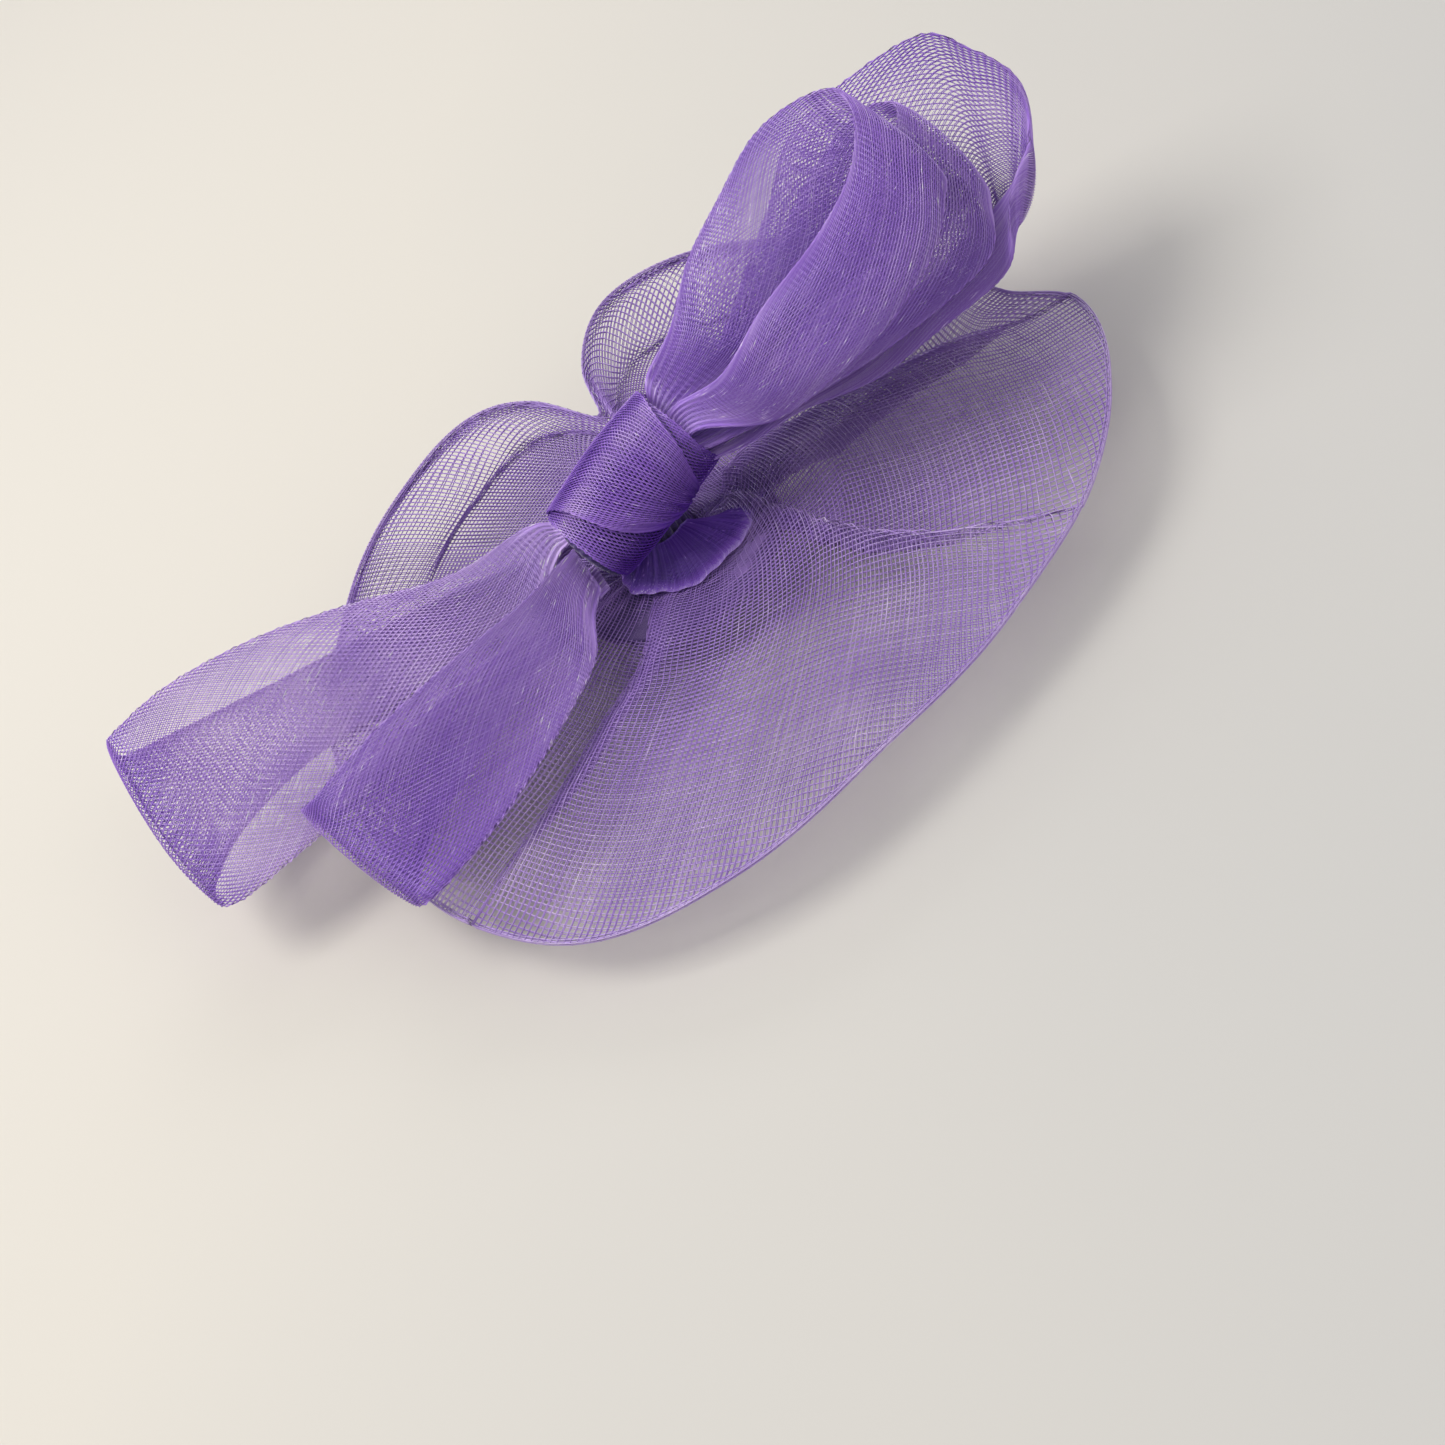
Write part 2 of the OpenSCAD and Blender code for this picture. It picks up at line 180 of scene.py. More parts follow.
def light_scene():
    scene = bpy.context.scene
    scene.view_settings.view_transform = "Standard"
    world = bpy.data.worlds.new("studio")
    world.use_nodes = True
    sky = world.node_tree.nodes["Background"]
    sky.inputs["Color"].default_value = (0.93, 0.95, 1.0, 1)
    sky.inputs["Strength"].default_value = 0.49
    scene.world = world
    area_light("window", (-0.65, 0.2, 1.2), (0.75, 0.8), 13.2, (1.0, 0.98, 0.95))
    area_light("fill", (1.0, -1.1, 0.9), (1.2, 1.2), 4.4, (1.0, 0.95, 0.92))
    area_light("rim", (0.3, 1.3, 0.8), (1.0, 0.5), 4, (0.95, 0.95, 1.0))


# ---------------- materials
def material(name, roughness, metallic=0.0):
    m = bpy.data.materials.new(name)
    m.use_nodes = True
    tree = m.node_tree
    shader = tree.nodes["Principled BSDF"]
    shader.inputs["Roughness"].default_value = roughness
    shader.inputs["Metallic"].default_value = metallic
    return m, tree, shader


def node(tree, kind, **inputs):
    n = tree.nodes.new(kind)
    for key, value in inputs.items():
        n.inputs[key.replace("_", " ")].default_value = value
    return n


def ramp(tree, source, stops):
    """A colour ramp fed by source: stops are (position, colour)."""
    n = tree.nodes.new("ShaderNodeValToRGB")
    elements = n.color_ramp.elements
    while len(elements) < len(stops):
        elements.new(0.5)
    for element, (position, colour) in zip(elements, stops):
        element.position = position
        element.color = (*colour, 1)
    tree.links.new(source, n.inputs["Fac"])
    return n.outputs["Color"]


def colour_by(tree, shader, source, stops):
    """A base colour from a ramp over source."""
    tree.links.new(ramp(tree, source, stops), shader.inputs["Base Color"])


def object_space(tree):
    return tree.nodes.new("ShaderNodeTexCoord").outputs["Object"]


def noise(tree, space, scale, detail, roughness=0.5):
    """A noise texture's value over a space."""
    n = node(tree, "ShaderNodeTexNoise", Scale=scale, Detail=detail, Roughness=roughness)
    tree.links.new(space, n.inputs["Vector"])
    return n.outputs["Fac"]


def times_plus(tree, value, factor, addend):
    """value * factor + addend, where factor is a number."""
    n = node(tree, "ShaderNodeMath")
    n.operation = "MULTIPLY_ADD"
    n.inputs[1].default_value = factor
    tree.links.new(value, n.inputs[0])
    tree.links.new(addend, n.inputs[2])
    return n.outputs["Value"]


def bump(tree, shader, height, distance, strength=1.0):
    n = node(tree, "ShaderNodeBump", Strength=strength, Distance=distance)
    tree.links.new(height, n.inputs["Height"])
    tree.links.new(n.outputs["Normal"], shader.inputs["Normal"])


def crin_material(name, pale, middle, deep):
    """Nylon monofilament: each strand has its own tone, and dye drifts along the braid."""
    m, tree, shader = material(name, 0.22)
    strand = tree.nodes.new("ShaderNodeAttribute")
    strand.attribute_name = "tone"
    drift = noise(tree, object_space(tree), 38.0, 2.0)
    tone = times_plus(tree, drift, 0.35, strand.outputs["Fac"])
    # The ramp's near-white top stop is the colour of the painted glints, a painted highlight.
    painted_glint = (0.97, 0.93, 1.0)
    colour_by(tree, shader, tone, [(0.15, deep), (0.55, middle), (0.85, pale), (1.0, painted_glint)])
    shader.inputs["Sheen Weight"].default_value = 0.08
    shader.inputs["Sheen Roughness"].default_value = 0.4
    shader.inputs["Sheen Tint"].default_value = (0.9, 0.82, 1.0, 1)
    return m


def packed_crin_material():
    """The dense crin under the strands of the knot and collar, near-black purple: painted shade,
    as it lies in shadow inside, with the deeper colour of its packed layers.
    """
    m, tree, shader = material("packed_crin", 0.55)
    space = object_space(tree)
    cloud = noise(tree, space, 90.0, 4.0)
    # Near-black purple: painted shade on the packed crin.
    colour_by(tree, shader, cloud, [(0.3, (0.014, 0.003, 0.06)), (0.7, (0.045, 0.014, 0.15))])
    fibre = noise(tree, space, 1800.0, 2.0)
    bump(tree, shader, fibre, 0.2 * MM)
    shader.inputs["Sheen Weight"].default_value = 0.4
    return m


def felt_material():
    """Matt pressed felt with blotches and a fuzzy face."""
    m, tree, shader = material("felt", 0.95)
    space = object_space(tree)
    blotch = noise(tree, space, 220.0, 6.0, 0.7)
    colour_by(tree, shader, blotch, [(0.3, (0.07, 0.035, 0.16)), (0.7, (0.14, 0.08, 0.26))])
    fuzz = noise(tree, space, 1400.0, 8.0, 0.8)
    bump(tree, shader, fuzz, 0.6 * MM)
    shader.inputs["Sheen Weight"].default_value = 0.45
    shader.inputs["Sheen Roughness"].default_value = 0.6
    shader.inputs["Sheen Tint"].default_value = (0.72, 0.55, 1.0, 1)
    return m


def thread_material():
    """Sewing thread with its fibres in slanting bands."""
    m, tree, shader = material("thread", 0.6)
    fibres = node(tree, "ShaderNodeTexWave", Scale=900.0, Distortion=1.0)
    fibres.bands_direction = "DIAGONAL"
    tree.links.new(object_space(tree), fibres.inputs["Vector"])
    bands = fibres.outputs["Fac"]
    colour_by(tree, shader, bands, [(0.1, (0.06, 0.025, 0.16)), (0.9, (0.16, 0.08, 0.34))])
    bump(tree, shader, bands, 0.1 * MM)
    shader.inputs["Sheen Weight"].default_value = 0.3
    return m


def steel_material():
    """Nickel-plated spring steel with a brushed grain and dull, handled patches."""
    m, tree, shader = material("nickel_steel", 0.3, metallic=1.0)
    space = object_space(tree)
    stretch = node(tree, "ShaderNodeMapping")
    stretch.inputs["Scale"].default_value = (0.06, 1, 1)
    tree.links.new(space, stretch.inputs["Vector"])
    grain = noise(tree, stretch.outputs["Vector"], 3000.0, 3.0)
    patch = noise(tree, space, 160.0, 4.0)
    colour_by(tree, shader, patch, [(0.3, (0.50, 0.49, 0.47)), (0.7, (0.68, 0.67, 0.66))])
    rough = ramp(tree, patch, [(0.25, (0.24,) * 3), (0.8, (0.42,) * 3)])
    tree.links.new(rough, shader.inputs["Roughness"])
    bump(tree, shader, grain, 0.05 * MM, 0.6)
    return m


def floor_material():
    """Pale, with painted light: brighter and warmer towards the window's side, and paler far off,
    where it meets the sky, against the fall-off of the lamps' light.
    """
    m, tree, shader = material("floor", 0.85)
    space = object_space(tree)
    # Painted light: brighter and warmer towards the window's side, darker away from it.
    away = node(tree, "ShaderNodeVectorMath")
    away.operation = "DOT_PRODUCT"
    away.inputs[1].default_value = (0.82, -0.55, 0)
    tree.links.new(space, away.inputs[0])
    window_side_painted_light = times_plus(tree, noise(tree, space, 3.0, 2.0), 0.3, away.outputs["Value"])
    colour = ramp(tree, window_side_painted_light, [(0.0, (0.70, 0.66, 0.585)), (0.45, (0.59, 0.58, 0.555))])
    # Painted light: paler far off, where the lamps' light falls off, to meet the sky.
    distance = node(tree, "ShaderNodeVectorMath")
    distance.operation = "LENGTH"
    tree.links.new(space, distance.inputs[0])
    far = node(tree, "ShaderNodeMapRange", From_Min=0.9, From_Max=2.6)
    tree.links.new(distance.outputs["Value"], far.inputs["Value"])
    far_painted_light = node(tree, "ShaderNodeMixRGB", Color2=(0.93, 0.94, 0.96, 1))
    tree.links.new(far.outputs["Result"], far_painted_light.inputs["Fac"])
    tree.links.new(colour, far_painted_light.inputs["Color1"])
    tree.links.new(far_painted_light.outputs["Color"], shader.inputs["Base Color"])
    return m


# ---------------- mesh making
def new_object(name, vertices, faces, mat):
    """A smooth mesh object from points in millimetres and a list of arrays of faces."""
    mesh = bpy.data.meshes.new(name)
    vertices = np.asarray(vertices, np.float32).reshape(-1, 3) * MM
    mesh.vertices.add(len(vertices))
    mesh.vertices.foreach_set("co", vertices.ravel())
    loops = np.concatenate([f.ravel() for f in faces]).astype(np.int32)
    sizes = np.concatenate([np.full(len(f), f.shape[1], np.int32) for f in faces])
    starts = np.concatenate([[0], np.cumsum(sizes)[:-1]]).astype(np.int32)
    mesh.loops.add(len(loops))
    mesh.loops.foreach_set("vertex_index", loops)
    mesh.polygons.add(len(sizes))
    mesh.polygons.foreach_set("loop_start", starts)
    mesh.polygons.foreach_set("loop_total", sizes)
    mesh.polygons.foreach_set("use_smooth", np.full(len(sizes), True))
    mesh.materials.append(mat)
    mesh.update(calc_edges=True)
    mesh.validate()
    o = bpy.data.objects.new(name, mesh)
    bpy.context.scene.collection.objects.link(o)
    return o


def tube_faces(rows, columns):
    """Quads of a tube of points: rows along it by columns round it."""
    i, k = np.meshgrid(np.arange(rows - 1), np.arange(columns), indexing="ij")
    j = (k + 1) % columns
    quads = [i * columns + k, i * columns + j, (i + 1) * columns + j, (i + 1) * columns + k]
    return np.stack(quads, -1).reshape(-1, 4)


def capped_faces(rows, columns, start=0):
    """Faces of a tube of points with a cap at each end, for points that start at an index."""
    first = np.arange(columns)[None]
    last = (rows - 1) * columns + first
    return [tube_faces(rows, columns) + start, first[:, ::-1] + start, last + start]


def flipped(faces):
    """The same faces, facing the other way."""
    return [f[:, ::-1] for f in faces]


def unit(v):
    return v / np.maximum(np.linalg.norm(v, axis=-1, keepdims=True), 1e-9)


def strands(lines, normals, radius):
    """Points and faces of closed thin tubes along lines[strand, point]."""
    count, length = lines.shape[:2]
    along = unit(np.gradient(lines, axis=1))
    side = unit(np.cross(along, normals))
    up = np.cross(side, along)
    turn = TAU * np.arange(SIDES) / SIDES + math.pi / 2
    ring = np.cos(turn)[:, None] * side[:, :, None] + np.sin(turn)[:, None] * up[:, :, None]
    points = lines[:, :, None] + radius * ring
    one = tube_faces(length, SIDES)
    step = np.arange(count)[:, None, None] * (length * SIDES)
    quads = (one[None] + step).reshape(-1, 4)
    first = np.arange(SIDES)
    caps = np.stack([first, (length - 1) * SIDES + first[::-1]])
    caps = (caps[None] + step).reshape(-1, SIDES)
    return points.reshape(-1, 3), quads, caps


def strand_object(name, parts, radius, mat, painted_glint=0.34):
    """One object from several families of strands: parts are (lines, normals) or (lines,
    normals, shade), where shade lightens or darkens points, including painted shade and painted
    highlights on the knot, brim and frill. Each strand has its own tone, with painted glints,
    near-white painted highlights, at random points, more of them in broad bands."""
    points, quads, caps, tone, start = [], [], [], [], 0
    for lines, normals, *shading in parts:
        p, q, c = strands(lines, normals, radius)
        points.append(p)
        quads.append(q + start)
        caps.append(c + start)
        shade = rng.uniform(*TONES, lines.shape[0])[:, None] + np.zeros(lines.shape[:2])
        # Painted glints: near-white painted highlights at random points, more of them in broad
        # bands.
        x, y, z = np.moveaxis(lines, -1, 0)
        patch = np.sin(0.13 * x + 0.07 * z) * np.sin(0.11 * y - 0.09 * z + 1)
        lit = PAINTED_GLINTS * np.clip(0.4 + 2.2 * patch, 0.15, 2.6)
        shade = shade + painted_glint * (rng.uniform(0, 1, shade.shape) < lit)
        shade = shade + (shading[0] if shading else 0)
        tone.append(np.repeat(shade.ravel(), SIDES))
        start += len(p)
    faces = [np.concatenate(quads), np.concatenate(caps)]
    o = new_object(name, np.concatenate(points), faces, mat)
    # The tone attribute holds each strand's own tone, and also the painted glints and any painted
    # shade and highlights passed in.
    attribute = o.data.attributes.new("tone", "FLOAT", "POINT")
    attribute.data.foreach_set("value", np.concatenate(tone).astype(np.float32))
    return o


# ---------------- curves and surfaces
def spline(rows, n, closed=False):
    """n rows of the Catmull-Rom curve through rows. A closed list's first value is an angle."""
    rows = np.asarray(rows, float)
    if closed:
        turn = np.zeros(rows.shape[1])
        turn[0] = 360
        rows = np.vstack([rows[-1] - turn, rows, rows[0] + turn, rows[1] + turn])
    else:
        rows = np.vstack([2 * rows[0] - rows[1], rows, 2 * rows[-1] - rows[-2]])
    spans = len(rows) - 3
    t = np.linspace(0, spans, n, endpoint=not closed)
    i = np.minimum(t.astype(int), spans - 1)
    u = (t - i)[:, None]
    a, b, c, d = rows[i], rows[i + 1], rows[i + 2], rows[i + 3]
    return 0.5 * (2 * b + (c - a) * u + (2 * a - 5 * b + 4 * c - d) * u**2
                  + (3 * b - a - 3 * c + d) * u**3)


def respaced(rows, count):
    """Rows respaced evenly along their line, and their distances along it. count gives the
    number of rows for the line's length."""
    run = np.concatenate([[0], np.cumsum(np.linalg.norm(np.diff(rows[:, :3], axis=0), axis=1))])
    even = np.linspace(0, run[-1], count(run[-1]))
    return np.stack([np.interp(even, run, column) for column in rows.T], 1), even


def soft_step(x):
    x = np.clip(x, 0, 1)
    return x * x * (3 - 2 * x)


def hump(x, middle, width):
    return np.exp(-(((x - middle) / width) ** 2))


def ripples(u, v, waves):
    """A sum of seeded sine waves over u and v (0 to 1): waves are (cycles u, cycles v, size)."""
    total = 0
    for cycles_u, cycles_v, size in waves:
        phase = rng.uniform(0, TAU)
        total = total + size * np.sin(TAU * (cycles_u * u + cycles_v * v) + phase)
    return total


class Tube:
    """A flattened crin tube along a band path: a grid of points, rows along it by columns
    round it, with its outward normals."""

    ROWS, COLUMNS = 420, 160
    cloth = TUBE_W         # flat width

    def __init__(self, path, waves, pleats=7, pleat_size=0.1, pleat_reach=18.0,
                 gap=WALL_GAP):
        rows, run = respaced(spline(path, 1200), lambda length: self.ROWS)
        self.length = run[-1]
        run = run[:, None]
        centre, width, camber = rows[:, :3], rows[:, 3:6], rows[:, 6:7]
        along = unit(np.gradient(centre, axis=0))
        up = unit(np.cross(along, width))[:, None]
        turn = np.arange(self.COLUMNS)[None] / self.COLUMNS
        across = 1 - 4 * np.abs(turn - 0.5)
        across = np.sin(across * math.pi / 2) * EDGE_TURN + across * (1 - EDGE_TURN)
        wall = np.where(turn < 0.5, 1.0, -1.0)
        near_knot = np.exp(-((run / pleat_reach) ** 2))
        near_knot = near_knot + np.exp(-(((self.length - run) / pleat_reach) ** 2))
        free = 1 - np.clip(near_knot, 0, 1)
        offset = camber * (1 - across**2)
        offset = offset + pleat_size * near_knot * np.cos(math.pi * pleats * across)
        offset = offset + free * ripples(run / self.length, across / 2, waves)
        gap = gap * (SQUEEZED + (1 - SQUEEZED) * free)
        half_gap = 0.5 * gap * np.sqrt(np.maximum(1 - across**4, 0))
        offset = offset + wall * half_gap
        self.points = (centre[:, None] + across[..., None] * width[:, None]
                       + up * offset[..., None])
        du = np.gradient(self.points, axis=0)
        dv = np.roll(self.points, -1, 1) - np.roll(self.points, 1, 1)
        self.normals = unit(np.cross(du, dv))
        self.widths = 2 * np.linalg.norm(width, axis=1)

    def at(self, grid, run, turn):
        """Values of a grid at distances run along the tube and turns round it."""
        i = np.clip(run / self.length, 0, 1) * (self.ROWS - 1)
        j = (turn % 1.0) * self.COLUMNS
        i0 = np.minimum(i.astype(int), self.ROWS - 2)
        j0 = j.astype(int) % self.COLUMNS
        j1 = (j0 + 1) % self.COLUMNS
        fi, fj = (i - i0)[..., None], (j - np.floor(j))[..., None]
        low = grid[i0, j0] * (1 - fj) + grid[i0, j1] * fj
        high = grid[i0 + 1, j0] * (1 - fj) + grid[i0 + 1, j1] * fj
        return low * (1 - fi) + high * fi

    def braid(self, segment, shade):
        """Two families of strands winding round the tube. Where the tube is drawn narrow the
        strands turn towards its length, as a braid's do. shade gives tones to add at shares
        of the tube's length."""
        spacing = BRAID_PITCH * math.sqrt(2)
        count = round(2 * self.cloth / spacing)
        steps = int(self.length * SLANT / segment)
        run = np.linspace(0, self.length, steps + 1)
        width = np.interp(run, np.linspace(0, self.length, self.ROWS), self.widths)
        rate = math.sqrt(0.5) / (2 * self.cloth)
        turn_rate = rate / np.sqrt(1 - np.minimum(2 * width * rate, 0.8) ** 2)
        middle = 0.5 * (turn_rate[1:] + turn_rate[:-1])
        turned = np.concatenate([[0], np.cumsum(middle * np.diff(run))])
        parts = []
        for way in (-1, 1):
            start = (np.arange(count) + rng.uniform(-UNEVEN, UNEVEN, count)) / count
            turn = start[:, None] + way * turned[None]
            where = np.broadcast_to(run, turn.shape)
            normals = unit(self.at(self.normals, where, turn))
            lines = self.at(self.points, where, turn) + way * WEAVE * normals
            parts.append((lines, normals, shade(where / self.length)))
        return parts


def turned_end(tone, middle, width):
    """Tones along a tail: deeper round its turned-back end."""
    return lambda share: tone - (tone + 0.12) * hump(share, middle, width)


# Filaments that have worked loose at the long tail's turned end.
LOOSE_ENDS = [
    [[-146, 10, 19], [-150, 14, 21], [-152, 20, 19], [-151, 26, 14]],
    [[-145, 12, 18], [-149, 17, 17], [-149, 23, 13]],
]


def crin_band(node_name, tube, mat, segment=2.2, name=None,
              shade=lambda share: 0 * share, loose=()):
    """A flattened tube as its braid, standing for its CAD solid if it has one."""
    parts = tube.braid(segment, shade)
    for path in loose:
        line = spline(path, 24)[None]
        parts.append((line, np.broadcast_to([0.1, 0.2, 1.0], line.shape)))
    o = strand_object(name or node_name + "_braid", parts, STRAND_R, mat)
    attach(o, ROOT)
    if node_name:
        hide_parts(node_name)


# ---------------- brim
RIM_ROWS = spline(RIM, 1440, closed=True)


def along_rim(angle, column):
    """The rim's radius (column 1) or height (column 2) at angles in radians."""
    return np.interp(np.degrees(angle) % 360, RIM_ROWS[:, 0], RIM_ROWS[:, column], period=360)


def off_angle(angle, degrees):
    """Signed angle from a bearing, in radians."""
    return (angle - math.radians(degrees) + math.pi) % TAU - math.pi


# Low waves round the brim: [cycles, phase, height].
BRIM_WAVES = [(cycles, rng.uniform(0, TAU), size)
              for cycles, size in [(5, 0.7), (7, 0.6), (9, 0.4), (13, 0.25)]]


# Folds of the brim where the cloth lies over itself in an S of three plies: bearings of the
# fold's edge in degrees and half-widths in mm at radii, the side the top ply comes from (1 for
# clockwise), how far round the cloth gives way in radians, and the lift of the plies.
Fold = namedtuple("Fold", "radii edges halves side reach lift")
PLEAT = Fold([20, 34, 49, 68, 87, 102, 112], [29, 26, 14.9, 6.7, 1.3, -2.8, -5.1],
             [4, 8, 9.5, 6.5, 3.8, 0.7, 0.3], side=1, reach=2.7, lift=1.9)
CREASE = Fold([20, 29, 44, 61, 78, 96, 115], [6, -24, -40, -47, -48, -46, -44],
              [3.0, 3.6, 3.6, 3.0, 2.0, 0.7, 0.3], side=1, reach=0.8, lift=1.5)
VALLEY = Fold([18, 38, 56, 77, 95, 110], [-129, -127, -134, -136.5, -138.6, -139],
              [2.5, 3.2, 3.0, 2.2, 0.8, 0.3], side=-1, reach=0.8, lift=1.3)
FOLDS = (PLEAT, CREASE, VALLEY)
CLOSE_RIM = 0.07           # share of the brim beside its rim where its strands close up
ROLL_FROM = 0.72           # and where the rolled edge of the back lobes starts
ROLL_OUT, ROLL_UP = 5.5, 1.0
PETAL_RISE = 2.2           # of the front petal, at its crease
VALLEY_DROP = 2.4          # beside the valley, under the short tail
HOLE_GATHERS, GATHER_H = 34, 0.7
LAYER_GAP = 0.3            # half the gap between the brim's two layers
LAYER_PUFF = 0.06          # how much further they stand apart in the middle


def fold_shape(radius, fold):
    """Bearing of a fold's middle and its half-width in radians at radii."""
    half = np.interp(radius, fold.radii, fold.halves) / np.maximum(radius, 18)
    return np.radians(np.interp(radius, fold.radii, fold.edges)) - fold.side * half, half


def fold_cloth(radius, angle, fold):
    """Bearings and lifts of cloth angles across one fold. The cloth beside it gives way."""
    middle, half = fold_shape(radius, fold)
    x = (angle - middle + math.pi) % TAU - math.pi
    folded = -half * (2 / math.pi) * np.arcsin(0.99 * np.sin(math.pi * x / (2 * half)))
    give = 2 * half * np.clip(1 - (np.abs(x) - 2 * half) / (fold.reach - 2 * half), 0, 1)
    turn = middle + np.where(np.abs(x) < 2 * half, folded, x - np.sign(x) * give)
    plies = -fold.side * np.tanh(1.6 * x / half) * (1 - soft_step((np.abs(x) / half - 3) / 4))
    lift = fold.lift * plies * soft_step(half * radius / 3) * soft_step((radius - 14) / 12)
    return turn, lift


def past_fold(radius, turn, fold):
    """Distance past a fold's middle, anticlockwise."""
    return (off_angle(turn, 0) - fold_shape(radius, fold)[0]) * radius


def brim_point(f, angle, side):
    """Points of the brim's upper (side 1) or lower (side -1) layer, from its gathered hole
    (f = 0) to its rim (f = 1)."""
    # The strands close up beside the rim.
    near_rim = np.clip((1 - f) / CLOSE_RIM, 0, 1)
    f = np.where(f > 1 - CLOSE_RIM, 1 - CLOSE_RIM * near_rim * (0.5 + 0.5 * near_rim), f)
    reach = along_rim(angle, 1) - BRIM_HOLE_R
    radius = BRIM_HOLE_R + f * reach
    z = BRIM_MID_Z + (along_rim(angle, 2) - BRIM_MID_Z) * f**2
    turn = angle
    for fold in FOLDS:
        turn, lift = fold_cloth(radius, turn, fold)
        z = z + lift
    # The mesh is drawn together beside the valley, towards the tails.
    x = off_angle(turn, -161)
    turn = turn - 0.22 * x * hump(x, 0, 0.3) * f
    # The front petal rises to its crease; beside the valley it drops under the short tail.
    x = past_fold(radius, turn, CREASE)
    z = z + PETAL_RISE * np.exp(-np.sqrt((x / 8) ** 2 + 0.05)) * np.sin(math.pi * f)
    x = past_fold(radius, turn, VALLEY)
    drop = soft_step((4 - x) / 6) * np.exp(-np.maximum(-x, 0) / 15)
    z = z - VALLEY_DROP * drop * np.sin(math.pi * f**0.8)
    # The back lobes' edges roll over before the rim.
    lobes = hump(off_angle(angle, 62), 0, 0.42) + hump(off_angle(angle, 128), 0, 0.50)
    roll = lobes * np.clip((f - ROLL_FROM) / 0.2, 0, 1) * np.clip((1 - f) / 0.08, 0, 1)
    t = TAU * np.clip((f - ROLL_FROM) / 0.26, 0, 1)
    radius = radius - ROLL_OUT * lobes * np.sin(t) * np.clip(roll * 9, 0, 1)
    z = z + ROLL_UP * lobes * (1 - np.cos(t))
    for cycles, phase, size in BRIM_WAVES:
        z = z + size * f * np.sin(cycles * angle + phase)
    # The gathers at the hole, then the gap between the two layers.
    z = z + GATHER_H * np.exp(-f / 0.12) * np.sin(HOLE_GATHERS * angle + 1.0)
    open_up = np.sqrt(np.maximum(1 - (2 * f - 1) ** 4, 0))
    z = z + side * (LAYER_GAP + LAYER_PUFF * open_up)
    return np.stack([radius * np.cos(turn), radius * np.sin(turn), z], -1)


def brim_normal(f, angle, side):
    step = 1e-3
    out = brim_point(f + step, angle, side) - brim_point(f - step, angle, side)
    round_it = brim_point(f, angle + step, side) - brim_point(f, angle - step, side)
    return unit(np.cross(out, round_it))


NET_R = 110.0              # outer radius of the brim's net, laid flat
NET_TAPER = 0.65           # share of a full turn in the sector it is drawn round from
NET_MIDDLE = -5.0          # bearing opposite the seam
NET_PITCH = 1.5            # at the rim; it closes up towards the gathered hole
NET_CROSSING = 92          # between the two families of strands, in degrees
NET_SEGMENT = 3.2          # length of a strand's segments, before they are set closer
NET_GROUP = 5              # strands whose counts of segments are within this go together


def drawn_round(x, d, way, normal):
    """Radii and bearings in the brim of points in the net's sector: x mm along strands that
    pass d mm from its corner."""
    radius = NET_R * (np.hypot(x, d) * NET_TAPER / NET_R) ** (1 / NET_TAPER)
    bearing = (normal + way * np.arctan2(x, d)) / NET_TAPER + math.radians(NET_MIDDLE)
    return radius, bearing


def closer_at_folds(x, d, way, normal, steps):
    """Positions along the net's strands, steps + 1 on each, set closer where they cross a
    fold."""
    radius, bearing = drawn_round(x, d, way, normal)
    weight = 1 + 0 * x
    for fold in FOLDS:
        middle, half = fold_shape(radius, fold)
        across = (bearing - middle + math.pi) % TAU - math.pi
        weight = weight + 2.5 * hump(across, 0, 2.5 * half) * (half * radius > 0.8)
    run = np.cumsum(weight, axis=1)
    run = (run - run[:, :1]) / (run[:, -1:] - run[:, :1])
    even = np.linspace(0, 1, steps + 1)
    return np.stack([np.interp(even, run[k], x[k]) for k in range(len(x))])


def net_strands(direction, shift):
    """Straight strands of the net's sector, as a list of (f, angle) grids. Each strand is
    cut at its nearest point to the sector's corner, and strands of like length go together."""
    outer = NET_R / NET_TAPER
    inner = outer * (BRIM_HOLE_R / NET_R) ** NET_TAPER
    limit = math.pi * NET_TAPER + 0.01
    groups = {}
    t = np.linspace(0, 1, 400)
    # Facings half a turn apart, enough to reach both ends of the sector.
    for facing in (-270, -90, 90, 270):
        normal = math.radians(direction + facing)
        for d in np.arange(0.5 + shift, outer, NET_PITCH):
            d = d + rng.uniform(-UNEVEN, UNEVEN) * NET_PITCH
            for way in (-1, 1):
                far = math.sqrt(max(outer**2 - d**2, 0))
                near = math.sqrt(max(inner**2 - d**2, 0))
                x = near + (far - near) * t
                inside = np.abs(normal + way * np.arctan2(x, d)) <= limit
                if far - near < 1 or inside.sum() < 12:
                    continue
                x = x[inside]
                steps = NET_GROUP * math.ceil((x[-1] - x[0]) / (NET_GROUP * NET_SEGMENT))
                groups.setdefault(steps, []).append((normal, d, way, x[0], x[-1]))
    grids = []
    for steps, found in groups.items():
        normal, d, way, start, end = (np.array(c)[:, None] for c in zip(*found))
        x = start + (end - start) * np.linspace(0, 1, 600)[None]
        x = closer_at_folds(x, d, way, normal, steps)
        radius, bearing = drawn_round(x, d, way, normal)
        grids.append(((radius - BRIM_HOLE_R) / (NET_R - BRIM_HOLE_R), bearing))
    return grids


